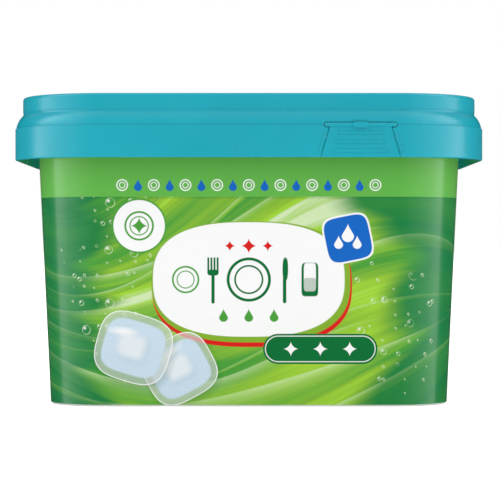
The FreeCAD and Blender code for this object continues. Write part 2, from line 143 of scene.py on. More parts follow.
def add_node(tree, kind, inputs=None, **settings):
    """A new node with its settings, and with its inputs linked or set by name."""
    made = tree.nodes.new(kind)
    for name, value in settings.items():
        setattr(made, name, value)
    for name, value in (inputs or {}).items():
        plug(tree, value, made.inputs[name])
    return made


def output_of(node, name):
    return Term(node.id_data, node.outputs[name])


def vector_sum(tree, operation, first, second):
    return add_node(tree, "ShaderNodeVectorMath", {0: first, 1: second}, operation=operation).outputs[0]


def split(tree, vector):
    """The across and up numbers of a vector."""
    parts = add_node(tree, "ShaderNodeSeparateXYZ", {"Vector": vector})
    return output_of(parts, "X"), output_of(parts, "Y")


def combined(tree, across, up, out=0.0):
    return add_node(tree, "ShaderNodeCombineXYZ", {"X": across, "Y": up, "Z": out}).outputs[0]


def number(default):
    return "NodeSocketFloat", default


def numbers(*names):
    return {name: "NodeSocketFloat" for name in names}


def new_group(name, kind, inputs, outputs):
    """An empty node group with its sockets: the tree, its input terms by name, and its output node."""
    tree = bpy.data.node_groups.new(name, kind)
    for label, (socket_kind, default) in inputs.items():
        socket = tree.interface.new_socket(name=label, in_out="INPUT", socket_type=socket_kind)
        if default is not None:
            socket.default_value = default
    for label, socket_kind in outputs.items():
        tree.interface.new_socket(name=label, in_out="OUTPUT", socket_type=socket_kind)
    entry = tree.nodes.new("NodeGroupInput")
    terms = {label: Term(tree, entry.outputs[label]) for label in inputs}
    return tree, terms, tree.nodes.new("NodeGroupOutput")


def put_out(result, **values):
    """Links what a group puts out, by name in small letters, and returns the group."""
    for name, value in values.items():
        plug(result.id_data, value, result.inputs[name.title()])
    return result.id_data


def use_group(tree, group, **values):
    """Places a group. Its inputs are given by name in small letters, with _ for a space."""
    made = add_node(tree, "ShaderNodeGroup", node_tree=group)
    for name, value in values.items():
        plug(tree, value, made.inputs[name.replace("_", " ").title()])
    return made


def colour_ramp(tree, factor, stops):
    ramp = add_node(tree, "ShaderNodeValToRGB", {"Fac": factor})
    elements = ramp.color_ramp.elements
    for position, colour in stops[1:-1]:
        elements.new(position)
    for element, (position, colour) in zip(elements, stops):
        element.position = position
        element.color = (*colour, 1)
    return ramp.outputs["Color"]


# Groups that the materials share

PLACE = {"Place": ("NodeSocketVector", None)}
MOTIF = {**PLACE, "Across": number(0.0), "Up": number(0.0), "Turn": number(0.0)}

# A drop's point, in radii above its middle, and the powers that shape its shoulders and its taper
DROP_POINT = 2
DROP_SHOULDER = 1.3
DROP_TAPER = 1.5

# Bubbles: how far they stray from their cells' middles, the smallest as a share of the largest, how softly
# they thin out, and how bright a rim's dull part is. A glint's offset and reach are shares of the radius.
BUBBLE_JITTER = 0.55
SMALLEST_BUBBLE = 0.25
BUBBLE_FADE = 1 / 12
RIM_SHADE = 0.3
GLINT_OFFSET = 0.4
GLINT_REACH = 0.34
GLINT_LIGHT = 1.4


@cache
def moulded_grain():
    """The skin of injection-moulded plastic: soft orange peel, faint flow marks and uneven gloss."""
    tree, given, result = new_group("Moulded Grain", "ShaderNodeTree", {
        **PLACE, "Grain Size": number(0.0025), "Flow Size": number(0.05),
    }, numbers("Height", "Shade", "Gloss"))

    def noise(scale, **inputs):
        made = add_node(tree, "ShaderNodeTexNoise", {"Vector": given["Place"], "Scale": scale, **inputs})
        return output_of(made, "Fac")

    return put_out(
        result,
        height=noise(1 / given["Grain Size"], Detail=0.5, Roughness=0.4),
        shade=noise(1 / given["Flow Size"], Detail=3.0, Distortion=1.2),
        gloss=noise(3 / given["Flow Size"], Detail=4.0),
    )


def turned(given, across, up):
    """A place measured from a motif's middle and turned with it."""
    dx = across - given["Across"]
    dy = up - given["Up"]
    cosine = given["Turn"].cosine()
    sine = given["Turn"].sine()
    return dx * cosine + dy * sine, dy * cosine - dx * sine


@cache
def print_shape():
    """An oval, disc, rounded box or four-pointed star, by how square it is."""
    tree, given, result = new_group("Print Shape", "ShaderNodeTree", {
        **MOTIF, "Half Width": number(10.0), "Half Height": number(10.0), "Squareness": number(2.0),
        "Softness": number(0.25),
    }, numbers("Mask", "Distance"))
    across, up = turned(given, *split(tree, given["Place"]))
    power = given["Squareness"]
    powers = abs(across / given["Half Width"]) ** power + abs(up / given["Half Height"]) ** power
    distance = (powers ** (1 / power) - 1) * given["Half Width"].least(given["Half Height"])
    return put_out(result, mask=distance.inked(given["Softness"]), distance=distance)


@cache
def print_bar():
    """A bar with round ends."""
    tree, given, result = new_group("Print Bar", "ShaderNodeTree", {
        **MOTIF, "Half Length": number(10.0), "Radius": number(2.0), "Softness": number(0.25),
    }, numbers("Mask", "Distance"))
    across, up = turned(given, *split(tree, given["Place"]))
    past_end = (abs(across) - given["Half Length"]).most(0)
    distance = (past_end * past_end + up * up).root() - given["Radius"]
    return put_out(result, mask=distance.inked(given["Softness"]), distance=distance)


@cache
def print_drop():
    """A water drop: round below and drawn out to a point above."""
    tree, given, result = new_group("Print Drop", "ShaderNodeTree", {
        **MOTIF, "Radius": number(2.0), "Softness": number(0.25),
    }, numbers("Mask"))
    across, up = turned(given, *split(tree, given["Place"]))
    level = up / given["Radius"]
    below = level.least(0)
    above = (level.most(0) / DROP_POINT).clamped()
    half = (1 - below * below).most(0).root() * (1 - above ** DROP_SHOULDER) ** DROP_TAPER
    distance = abs(across) - half * given["Radius"]
    return put_out(result, mask=distance.inked(given["Softness"]) * half.over(0.001))


@cache
def print_ribbon():
    """A flowing ribbon: a wave that swells and thins as it runs along."""
    tree, given, result = new_group("Print Ribbon", "ShaderNodeTree", {
        **PLACE, "Level": number(50.0), "Slope": number(0.0), "Swing": number(10.0), "Wave": number(100.0),
        "Shift": number(0.0), "Half Width": number(4.0), "Swell": number(120.0), "Softness": number(0.5),
    }, numbers("Mask", "Side"))
    across, up = split(tree, given["Place"])
    phase = (across + given["Shift"]) * math.tau
    middle = given["Level"] + given["Slope"] * across + given["Swing"] * (phase / given["Wave"]).sine()
    half = given["Half Width"] * (0.5 + 0.5 * (phase / given["Swell"]).cosine()).most(0.02)
    side = (up - middle) / half
    mask = ((1 - abs(side)) * half / given["Softness"]).clamped()
    return put_out(result, mask=mask, side=(side * 0.5 + 0.5).clamped())


@cache
def print_bubbles():
    """Scattered bubbles: thin rims, brightest at the upper left and lower right, each with a glint."""
    tree, given, result = new_group("Print Bubbles", "ShaderNodeTree", {
        **PLACE, "Cell": number(8.0), "Largest": number(0.32), "Share": number(0.5), "Rim": number(0.05),
    }, numbers("Rim", "Glint"))
    cells = add_node(tree, "ShaderNodeTexVoronoi", {
        "Vector": given["Place"], "Scale": 1 / given["Cell"], "Randomness": BUBBLE_JITTER,
    }, voronoi_dimensions="2D")
    chance = add_node(tree, "ShaderNodeSeparateColor", {"Color": cells.outputs["Color"]})
    size = output_of(chance, "Red") * output_of(chance, "Red")
    radius = given["Largest"] * (SMALLEST_BUBBLE + (1 - SMALLEST_BUBBLE) * size)
    present = output_of(chance, "Green").falls(given["Share"], BUBBLE_FADE)
    distance = output_of(cells, "Distance")
    across, up = split(tree, vector_sum(tree, "SUBTRACT", given["Place"], cells.outputs["Position"]))
    across = across / given["Cell"]
    up = up / given["Cell"]
    slant = (abs(across - up) / (distance * math.sqrt(2)).most(0.01)).clamped()
    rim = (1 - abs(distance - radius) / given["Rim"]).clamped() * (RIM_SHADE + (1 - RIM_SHADE) * slant)
    to_glint = ((across + radius * GLINT_OFFSET) ** 2 + (up - radius * GLINT_OFFSET) ** 2).root()
    glint = (GLINT_LIGHT - to_glint / (radius * GLINT_REACH)).clamped()
    return put_out(result, rim=rim * present, glint=glint * present)


# Settings


def colour_setting(name, description, default):
    return FloatVectorProperty(
        name=name, description=description, subtype="COLOR", default=default, min=0, max=1)


def length_setting(name, description, default, **limits):
    return FloatProperty(name=name, description=description, unit="LENGTH", default=default, **limits)


def share_setting(name, description, default):
    return FloatProperty(name=name, description=description, default=default, min=0, max=1)


class PlasticSettings(bpy.types.PropertyGroup):
    """Colours and skin of the moulded plastics."""

    lid_colour: colour_setting("Lid Colour", "Teal of the lid and its press tabs", (0.002, 0.403, 0.509))
    tub_colour: colour_setting("Tub Colour", "White of the tub", (0.84, 0.85, 0.83))
    roughness: share_setting("Roughness", "Roughness of the satin finish", 0.26)
    specular: share_setting("Specular", "Strength of the gloss", 0.56)
    grain_size: length_setting("Grain Size", "Width of one swelling of the peel", 0.0026, min=0.0001)


class LabelSettings(bpy.types.PropertyGroup):
    """Sizes, finish and colours of the printed label."""

    band_height: length_setting("Band Height", "Height at which the light band begins", 0.0998)
    corner_steps: IntProperty(name="Corner Steps", description="Faces round one corner", default=28, min=6)
    rows: IntProperty(name="Rows", description="Rows of faces up the wall", default=12, min=1)
    roughness: share_setting("Roughness", "Roughness of the printed film", 0.2)
    specular: share_setting("Specular", "Strength of the gloss", 0.42)
    band_colour: colour_setting("Band Colour", "Light green of the band", (0.132, 0.49, 0.074))
    deep_colour: colour_setting("Deep Colour", "Dark green of the sides", (0.004, 0.212, 0.056))
    leaf_colour: colour_setting("Leaf Colour", "Middle green of the field", (0.075, 0.36, 0.045))
    lime_colour: colour_setting("Lime Colour", "Yellow-green of the field's middle", (0.30, 0.56, 0.035))
    pale_colour: colour_setting("Pale Colour", "Highlights of the ribbons", (0.72, 0.86, 0.55))
    white_colour: colour_setting("White Colour", "White of the panels and signs", (0.96, 0.96, 0.96))
    blue_colour: colour_setting("Blue Colour", "Blue of the square sign and the drops", (0.003, 0.14, 0.58))
    red_colour: colour_setting("Red Colour", "Red of the line and the sparkles", (0.72, 0.01, 0.008))
    dark_colour: colour_setting("Dark Colour", "Dark green of the pictures", (0.002, 0.17, 0.04))
    tablet_colour: colour_setting("Tablet Colour", "Pale blue of the pictured tablets", (0.60, 0.74, 0.86))


class TabletSettings(bpy.types.PropertyGroup):
    """Shape and colours of the wrapped tablets."""

    flange: share_setting("Flange", "Width of the sealed edge, as a share of half the tablet", 0.12)
    corner_pull: share_setting("Corner Pull", "How far the corners are drawn in", 0.24)
    cells: IntProperty(name="Cells", description="Faces along one side of a tablet", default=12, min=6)
    powder_colour: colour_setting("Powder Colour", "Pale powder under the film", (0.88, 0.94, 0.98))
    speck_colour: colour_setting("Speck Colour", "Blue specks in the powder", (0.10, 0.28, 0.62))


class StageSettings(bpy.types.PropertyGroup):
    """Floor, light and camera."""

    floor_size: length_setting("Floor Size", "Side of the floor", 120.0)
    camera_reach: length_setting("Camera Reach", "Camera to the lid's front", 0.973)
    camera_height: length_setting("Camera Height", "Camera above the floor", 0.0742)
    camera_across: length_setting("Camera Across", "Camera right of the middle", 0.00057)
    lens: FloatProperty(name="Lens", description="Focal length in millimetres", default=149.8)
    shift: FloatProperty(
        name="Shift", description="Upward shift of the view, as a share of its width", default=0.0014)
    ambient: FloatProperty(name="Ambient", description="Light from all round", default=0.93)
    softbox: FloatProperty(name="Softbox", description="Brightest part of the side softboxes", default=3.4)


# Plastics

# Painted shade in crevices: how wide it is, how strong, and how dark the colour gets in it
CREVICE_REACH = 1.6 * MM
CREVICE_SHADE_STRENGTH = 0.4
CREVICE_SHADE_DARKNESS = 0.4
# Where the flow marks begin in their noise and how softly, and how they darken and lighten the colour
FLOW_MARKS = (0.35, 1 / 3)
FLOW_SHADES = (0.965, 1.03)
PEEL_DEPTH = 0.08 * MM


def new_material(name):
    """A node material, its tree and its Principled shader."""
    material = bpy.data.materials.new(name)
    material.use_nodes = True
    return material, material.node_tree, material.node_tree.nodes["Principled BSDF"]


def object_place(tree):
    return add_node(tree, "ShaderNodeTexCoord").outputs["Object"]


def mixed(tree, factor, first, second):
    """One colour laid over another."""
    made = add_node(tree, "ShaderNodeMix", data_type="RGBA")
    plug(tree, factor, made.inputs[0])
    plug(tree, (*first, 1) if isinstance(first, tuple) else first, made.inputs[6])
    plug(tree, (*second, 1) if isinstance(second, tuple) else second, made.inputs[7])
    return made.outputs[2]


def dimmed(colour, share):
    return tuple(channel * share for channel in colour)


def blended(first, second, share):
    """A colour part of the way from the first to the second."""
    return tuple(a + (b - a) * share for a, b in zip(first, second))


def add_bump(tree, shader, height, strength, depth):
    bump = add_node(tree, "ShaderNodeBump", {"Height": height, "Strength": strength, "Distance": depth})
    plug(tree, bump.outputs["Normal"], shader.inputs["Normal"])
    return bump.outputs["Normal"]


def add_skin(tree, shader, settings, unevenness, strength, depth, **sizes):
    """Gloss with uneven patches, and orange peel. Returns the node of the grain."""
    shader.inputs["Specular IOR Level"].default_value = settings.specular
    skin = use_group(tree, moulded_grain(), place=object_place(tree), **sizes)
    uneven = (output_of(skin, "Gloss") - 0.5) * unevenness
    plug(tree, settings.roughness + uneven, shader.inputs["Roughness"])
    add_bump(tree, shader, output_of(skin, "Height"), strength, depth)
    return skin


def moulded_plastic(name, colour, settings):
    """Satin polypropylene as it leaves the mould, with painted shade darkening its crevices."""
    material, tree, shader = new_material(name)
    colour = tuple(colour)
    skin = add_skin(tree, shader, settings, unevenness=0.1, strength=0.25, depth=PEEL_DEPTH,
                    grain_size=settings.grain_size)
    flow = output_of(skin, "Shade").rises(*FLOW_MARKS)
    even = mixed(tree, flow, *(dimmed(colour, shade) for shade in FLOW_SHADES))
    # Painted shade: the colour is darkened in crevices, as far as ambient occlusion finds them
    crevice_shade = add_node(tree, "ShaderNodeAmbientOcclusion", {"Distance": CREVICE_REACH}, samples=8)
    depth = (1 - output_of(crevice_shade, "AO")) * CREVICE_SHADE_STRENGTH
    plug(tree, mixed(tree, depth, even, dimmed(colour, CREVICE_SHADE_DARKNESS)), shader.inputs["Base Color"])
    return material


def dress(node_name, material):
    """Gives a CAD piece its finish."""
    for material_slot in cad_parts[node_name].material_slots:
        material_slot.material = material


class TUB_OT_finish_tub(bpy.types.Operator):
    """Finish the white tub"""

    bl_idname = "tablet_tub.finish_tub"
    bl_label = "Finish Tub"

    def execute(self, context):
        settings = context.scene.tub_plastic
        dress("tub", moulded_plastic("White Plastic", settings.tub_colour, settings))
        return {"FINISHED"}


class TUB_OT_finish_lid(bpy.types.Operator):
    """Finish the lid and its press tabs"""

    bl_idname = "tablet_tub.finish_lid"
    bl_label = "Finish Lid"

    def execute(self, context):
        settings = context.scene.tub_plastic
        teal = moulded_plastic("Teal Plastic", settings.lid_colour, settings)
        for name in ("lid", "front_press_tab", "rear_press_tab"):
            dress(name, teal)
        return {"FINISHED"}


# Label

LABEL_MAP = "Label"
LABEL_FILM = 0.25 * MM
LABEL_CLEARANCE = 0.02 * MM
LABEL_SEAM = 0.6 * MM
LABEL_PEEL_DEPTH = 0.06 * MM
# Width of the columns that keep the flat stretches flat where they meet a bend
GUARD = 0.8 * MM
SHARP_EDGE = math.radians(40)


def label_outline():
    """The label's solid: its corners' middle, their radius at the floor, its lean and its two heights."""
    low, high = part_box("label")
    points = [vertex.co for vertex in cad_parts["label"].data.vertices]
    tiny = 0.02 * MM
    half_foot = max(point.x for point in points if point.z < low.z + tiny)
    lean = (high.x - half_foot) / (high.z - low.z)
    middle_x = max(point.x for point in points if point.y < low.y + tiny)
    middle_y = max(point.y for point in points if point.x > high.x - tiny)
    radius = half_foot - middle_x - lean * low.z
    return Vector((middle_x, middle_y)), radius, lean, low.z, high.z


def heading(angle):
    return Vector((math.cos(angle), math.sin(angle)))


def wall_columns(middle, radius, mean_radius, steps):
    """Columns round the wall from the seam at the back: (point, outward direction, length so far)."""
    back_seam = middle.y + radius
    columns = [(Vector((-LABEL_SEAM / 2, back_seam)), heading(QUARTER), 0.0)]

    def go_to(point, outward, length=None):
        past, _, so_far = columns[-1]
        step = (point - past).length if length is None else length
        columns.append((point, outward, so_far + step))

    # Side, back or front, and the direction in which the wall faces as the bend begins, in quarter turns
    for side, back, turns in ((-1, 1, 1), (-1, -1, 2), (1, -1, 3), (1, 1, 4)):
        centre = Vector((side * middle.x, back * middle.y))
        first = turns * QUARTER
        last = first + QUARTER
        go_to(centre + heading(first) * radius - heading(last) * GUARD, heading(first))
        for step in range(steps + 1):
            outward = heading(first + QUARTER * step / steps)
            go_to(centre + outward * radius, outward, mean_radius * QUARTER / steps if step else GUARD)
        go_to(centre + heading(last) * radius + heading(last + QUARTER) * GUARD, heading(last))
    go_to(Vector((LABEL_SEAM / 2, back_seam)), heading(QUARTER))
    return columns


def build_sleeve(settings):
    """The label as a closed skin round the wall. Its map runs along from the seam and up from the floor."""
    middle, radius, lean, low, high = label_outline()
    mean_radius = radius + lean * (low + high) / 2
    columns = wall_columns(middle, radius, mean_radius, settings.corner_steps)
    length = columns[-1][2]
    heights = [low + (high - low) * row / settings.rows for row in range(settings.rows + 1)]
    section = [(0, z) for z in heights] + [(LABEL_CLEARANCE - LABEL_FILM, z) for z in reversed(heights)]

    mesh = bmesh.new()
    layer = mesh.loops.layers.uv.new(LABEL_MAP)
    grid = []
    where = {}
    for point, outward, along in columns:
        line = []
        for out, z in section:
            spot = point + outward * (lean * z + out)
            vertex = mesh.verts.new((spot.x, spot.y, z))
            where[vertex] = (along / length, z / high)
            line.append(vertex)
        grid.append(line)
    count = len(section)
    for first, second in zip(grid, grid[1:]):
        for row in range(count):
            above = (row + 1) % count
            mesh.faces.new((first[row], second[row], second[above], first[above]))
    for line in (grid[0], grid[-1]):
        for row in range(settings.rows):
            mesh.faces.new((line[row], line[row + 1], line[count - 2 - row], line[count - 1 - row]))
    bmesh.ops.recalc_face_normals(mesh, faces=mesh.faces)
    for face in mesh.faces:
        face.smooth = True
        for loop in face.loops:
            loop[layer].uv = where[loop.vert]
    data = bpy.data.meshes.new("label_sleeve")
    mesh.to_mesh(data)
    mesh.free()
    data.set_sharp_from_angle(angle=SHARP_EDGE)
    return data, length, high


# Width over which the edge of an ink fades
INK_EDGE = 0.25


class Print:
    """Inks laid one over another on the label.

    Places and sizes are millimetres across and up. The numbers inside a motif are shares of its size."""

    def __init__(self, tree, place, ground):
        self.tree = tree
        self.place = place
        self.colour = ground

    def at(self, across, up):
        """The same sheet with what is on it, but with places read from other numbers."""
        return Print(self.tree, combined(self.tree, across, up), self.colour)

    def lay(self, ink, mask):
        self.colour = mixed(self.tree, mask, self.colour, ink)

    def motif(self, group, across, up, turn=0.0, softness=INK_EDGE, **sizes):
        return use_group(self.tree, group, place=self.place, across=across, up=up, turn=turn,
                         softness=softness, **sizes)

    def shape(self, across, up, half_width, half_height, squareness=2.0, turn=0.0, softness=INK_EDGE):
        return self.motif(print_shape(), across, up, turn, softness,
                          half_width=half_width, half_height=half_height, squareness=squareness)

    def bar(self, across, up, half_length, radius, turn=0.0):
        return self.motif(print_bar(), across, up, turn, half_length=half_length, radius=radius)

    def draw(self, ink, node, share=1.0):
        self.lay(ink, output_of(node, "Mask") * share)

    def line(self, ink, node, width, inset=0.0, share=1.0):
        """A line along a motif's edge, inset from it."""
        distance = output_of(node, "Distance") + (inset + width / 2)
        self.lay(ink, (abs(distance) - width / 2).inked(INK_EDGE) * share)

    def ring(self, ink, across, up, radius, width, share=1.0):
        self.line(ink, self.bar(across, up, 0.0, radius), width, share=share)

    def drop(self, ink, across, up, radius, share=1.0):
        self.draw(ink, self.motif(print_drop(), across, up, radius=radius), share)

    def sparkle(self, ink, across, up, reach):
        self.draw(ink, self.shape(across, up, reach, reach, 0.62, softness=0.2))

    def plate(self, ink, across, up, radius):
        self.ring(ink, across, up, radius, radius * 0.13)
        self.ring(ink, across, up, radius * 0.66, radius * 0.08)

    def parts(self, across, up, size, turn=0.0):
        """Makes a function for the shapes of a motif, and one for its upright bars."""

        def block(right, higher, half_width, half_height, squareness, softness=INK_EDGE, tilt=0.0):
            return self.shape(across + right * size, up + higher * size, half_width * size,
                              half_height * size, squareness, turn + tilt, softness)

        def post(right, higher, half_length, radius):
            return self.bar(across + right * size, up + higher * size, half_length * size, radius * size,
                            QUARTER)

        return block, post

    def glass(self, ink, gap, across, up, size):
        """A stemless tumbler with its water."""
        block, _ = self.parts(across, up, size)
        self.draw(ink, block(0, 0, 0.5, 1.0, 7.0))
        self.draw(gap, block(0, 0.14, 0.36, 0.84, 7.0))
        self.draw(ink, block(0, -0.36, 0.36, 0.46, 6.0), 0.45)

    def fork(self, ink, across, up, size):
        block, post = self.parts(across, up, size)
        self.draw(ink, post(0, -0.35, 0.62, 0.07))
        self.draw(ink, block(0, 0.3, 0.24, 0.13, 3.0))
        for tine in (-0.2, -0.2 / 3, 0.2 / 3, 0.2):
            self.draw(ink, post(tine, 0.62, 0.3, 0.042))

    def knife(self, ink, across, up, size):
        block, post = self.parts(across, up, size)
        self.draw(ink, post(0, -0.45, 0.5, 0.075))
        self.draw(ink, block(0.03, 0.45, 0.12, 0.5, 2.6))

    def tablet(self, ink, light, shadow, across, up, size, turn):
        """A wrapped tablet seen from above: film, speckled powder with a pressed square, and a glint."""
        pillow, _ = self.parts(across, up, size, turn)
        self.draw(shadow, pillow(0.06, -0.12, 1.12, 1.02, 3.0, size * 0.3), 0.4)
        film = pillow(0, 0, 1.12, 1.02, 3.2, 0.3)
        self.draw(light, film, 0.35)
        self.line(light, film, 0.35)
        powder = pillow(0, 0, 0.9, 0.8, 3.8, 0.9)
        self.draw(ink, powder)
        grains = add_node(self.tree, "ShaderNodeTexVoronoi", {"Vector": self.place, "Scale": 0.85},
                          voronoi_dimensions="2D")
        speck = output_of(grains, "Distance").falls(0.3, 0.3) * output_of(powder, "Mask")
        self.lay(dimmed(ink, 0.685), speck * 0.5)
        self.draw(dimmed(ink, 0.9), pillow(0, -0.02, 0.5, 0.44, 4.5, 2.2), 0.7)
        self.draw(light, pillow(-0.05, 0.06, 0.4, 0.34, 4.0, 3.0), 0.55)
        self.draw(light, pillow(-0.3, 0.5, 0.34, 0.1, 2.0, size * 0.12, 0.2), 0.85)


def label_inks(settings):
    """The label's colours by name."""
    names = ("band", "deep", "leaf", "lime", "pale", "white", "blue", "red", "dark", "tablet")
    return SimpleNamespace(**{name: tuple(getattr(settings, name + "_colour")) for name in names})


def label_place(tree, length, high):
    """Millimetres across from the middle of the front, and up from the floor."""
    source = add_node(tree, "ShaderNodeUVMap", uv_map=LABEL_MAP)
    moved = vector_sum(tree, "SUBTRACT", source.outputs["UV"], (0.5, 0, 0))
    return vector_sum(tree, "MULTIPLY", moved, (length / MM, high / MM, 0))


# The stream climbs to the right in long bends, and swells and narrows on its way. A bend or a swelling is
# given by its size, where it starts, and how far it runs in a radian. STREAM_START moves the streaks along
# the stream, until they lie well round the panel.
STREAM_START = 250
STREAM_LEVEL = 52
STREAM_RISE = 0.14
STREAM_BEND = (15, 10, 38)
STREAM_SWELLING = (0.38, -34, 41)


def wave(across, size, start, length):
    return size * ((across - start) / length).sine()


def flow_place(tree, place):
    """Places in the measure of the label's stream: millimetres along it, and out from its middle line."""
    across, up = split(tree, place)
    middle = STREAM_LEVEL + (wave(across, *STREAM_BEND) + STREAM_RISE * across)
    return combined(tree, across + STREAM_START, (up - middle) / (1 + wave(across, *STREAM_SWELLING)))


def streaks(tree, flow, length, width, **inputs):
    """Soft streaks along the stream, from about -0.5 to 0.5."""
    stretched = vector_sum(tree, "DIVIDE", flow, (length, width, 1))
    noise = add_node(tree, "ShaderNodeTexNoise", {"Vector": stretched, "Scale": 1.0, **inputs},
                     noise_dimensions="2D")
    return output_of(noise, "Fac") - 0.5


# The bright part of the field: its middle's height, its half width and half height, and how sharply it ends
GLOW_LEVEL = 50
GLOW_HALVES = (82, 92)
GLOW_SHARPNESS = 4.2


def flowing_field(tree, place, flow, inks):
    """The green ground: dark at the sides, lime in the middle, and brushed along the stream."""
    across, up = split(tree, place)
    level = split(tree, flow)[1]
    broad = streaks(tree, flow, length=130, width=15, Detail=0.5, Roughness=0.4, Distortion=0.2)
    brushed = streaks(tree, flow, length=150, width=3.4, Detail=2.0, Roughness=0.55)
    from_middle = ((across / GLOW_HALVES[0]) ** 2 + ((up - GLOW_LEVEL) / GLOW_HALVES[1]) ** 2).root()
    reach = from_middle + broad * 0.5 + 0.03 * (level / 5).sine()
    nearness = ((1 - reach) * GLOW_SHARPNESS).clamped()
    glow = nearness * nearness * (3 - 2 * nearness)
    brightness = 0.13 + broad * 2.3 + brushed * 0.75 + glow * 0.35
    bright = colour_ramp(tree, brightness, [
        (0.0, inks.leaf),
        (0.25, blended(inks.leaf, inks.lime, 0.5)),
        (0.5, inks.lime),
        (0.72, dimmed(inks.lime, 1.25)),
        (0.9, blended(inks.lime, inks.pale, 0.55)),
        (1.0, blended(inks.lime, inks.pale, 0.85)),
    ])
    lightened = (0.12 + broad * 0.6 + brushed * 0.3).clamped()
    deep = mixed(tree, lightened, inks.deep, inks.leaf)
    return mixed(tree, glow, deep, bright), glow


RIBBONS = [
    # level, slope, swing, wave, shift, half width, swell, strength
    (-46, 0.03, 3, 190, 12, 5.5, 260, 0.7),
    (-36, -0.04, 4, 210, 60, 2.2, 190, 1.0),
    (-29, 0.02, 5, 240, 30, 1.0, 330, 0.9),
    (-20, -0.03, 4, 170, 90, 7.5, 280, 0.6),
    (-8, 0.04, 5, 230, 20, 1.6, 240, 0.95),
    (4, -0.02, 4, 180, 70, 3.0, 200, 0.8),
    (16, 0.03, 5, 260, -10, 1.0, 300, 0.9),
    (24, -0.04, 4, 200, 40, 6.5, 250, 0.65),
    (34, 0.02, 4, 220, 5, 1.8, 210, 1.0),
    (43, -0.02, 5, 190, 80, 4.2, 270, 0.75),
]
RIBBON_BODY = 0.35
RIBBON_SHINE = 0.85


def draw_ribbons(sheet, inks, glow):
    """Glossy ribbons along the stream: bright along one edge and fading to the other."""
    for level, slope, swing, wave_length, shift, half_width, swell, strength in RIBBONS:
        ribbon = use_group(sheet.tree, print_ribbon(), place=sheet.place, level=level, slope=slope,
                           swing=swing, wave=wave_length, shift=shift, half_width=half_width, swell=swell)
        shine = output_of(ribbon, "Side") ** 4
        faded = output_of(ribbon, "Mask") * (glow * 0.75 + 0.25)
        sheet.lay(dimmed(inks.lime, 1.2), faded * (RIBBON_BODY * strength))
        sheet.lay(inks.pale, faded * shine * (RIBBON_SHINE * strength))


BUBBLE_CLUSTERS = [
    # middle across and up, fullness there, and how fast it falls off across and up
    (-62, 62, 1.25, 0.0012, 0.0004),
    (70, 40, 1.1, 0.0016, 0.0006),
]
BUBBLE_SIZES = [
    # cell, and as shares of it the largest radius and the rim; how strongly they show
    (12.0, 0.195, 0.028, 0.8),
    (6.2, 0.175, 0.05, 0.75),
]
BUBBLE_SHARE = 0.6


def draw_bubbles(sheet, inks):
    """Large and small bubbles in two clusters."""
    across, up = split(sheet.tree, sheet.place)
    left, right = (
        (fullness - ((across - middle) ** 2 * fall_across + (up - level) ** 2 * fall_up)).clamped()
        for middle, level, fullness, fall_across, fall_up in BUBBLE_CLUSTERS
    )
    share = left.most(right) * BUBBLE_SHARE
    for cell, largest, rim, strength in BUBBLE_SIZES:
        bubbles = use_group(sheet.tree, print_bubbles(), place=sheet.place, cell=cell, largest=largest,
                            share=share, rim=rim)
        sheet.lay(inks.pale, output_of(bubbles, "Rim") * strength)
        sheet.lay(inks.white, output_of(bubbles, "Glint") * 0.85)


def draw_panel(sheet, inks):
    """The white panel, with a red line and a lime one showing under it, and a laid table on it."""
    up = 60.5
    sheet.draw(inks.red, sheet.shape(1.5, up - 2.9, 47.5, 29.2, 2.6))
    sheet.draw(dimmed(inks.lime, 0.8), sheet.shape(1.0, up - 1.1, 47.2, 28.8, 2.6))
    sheet.draw(inks.white, sheet.shape(0, up, 45.5, 27.2, 2.6))
    for across, reach in ((-9, 2.7), (0, 3.8), (9, 2.7)):
        sheet.sparkle(inks.red, across, up + 16, reach)
    sheet.plate(inks.dark, 0, up, 10.5)
    sheet.fork(inks.dark, -17, up, 11)
    sheet.knife(inks.dark, 17, up, 11)
    sheet.glass(inks.dark, inks.white, 29, up, 8)
    sheet.plate(inks.leaf, -30, up, 6.5)
    for across in (-12, 0, 12):
        sheet.drop(inks.leaf, across, up - 18, 2.1)


def draw_signs(sheet, inks):
    """A round sign with a plate, a turned square one with three drops, and a pill with sparkles."""
    across, up = -52, 86
    sheet.draw(inks.leaf, sheet.shape(across, up, 13.0, 13.0))
    sheet.draw(inks.white, sheet.shape(across, up, 12.2, 12.2))
    sheet.plate(inks.leaf, across, up, 7.0)
    sheet.sparkle(inks.leaf, across, up, 4.2)

    across, up = 47, 80
    sheet.draw(inks.white, sheet.shape(across, up, 11.4, 11.4, 4.5, 0.2))
    sheet.draw(inks.blue, sheet.shape(across, up, 10.6, 10.6, 4.5, 0.2))
    for right, higher, radius in ((-4.4, -2.8, 2.1), (0, 1.2, 2.9), (4.4, -2.8, 2.1)):
        sheet.drop(inks.white, across + right, up + higher, radius)

    across, up = 34, 27.5
    pill = sheet.bar(across, up, 20.0, 7.2)
    sheet.draw(inks.dark, pill)
    sheet.line(inks.white, pill, 0.4, 0.9)
    for right in (-14, 0, 14):
        sheet.sparkle(inks.white, across + right, up, 3.6)


def draw_band(sheet, inks, start):
    """The light band, with a row of plates and drops across the front."""
    across, up = split(sheet.tree, sheet.place)
    edge = (1 - abs(up - start + 0.5) / 0.7).clamped()
    sheet.lay(dimmed(inks.deep, 0.9), edge * 0.35)
    sheet.lay(inks.band, (start - up).inked(0.2))

    pitch = 15.0
    row_up = 105.3
    in_row = (63 - abs(across)).over(0)
    plates = sheet.at((across + pitch / 2).rest(pitch) - pitch / 2, up)
    for radius, width in ((2.8, 0.55), (1.5, 0.4)):
        plates.ring(inks.white, 0, row_up, radius, width, in_row)
    drops = plates.at(across.rest(pitch) - pitch / 2, up)
    drops.drop(inks.blue, 0, row_up - 0.9, 1.9, in_row)
    sheet.colour = drops.colour


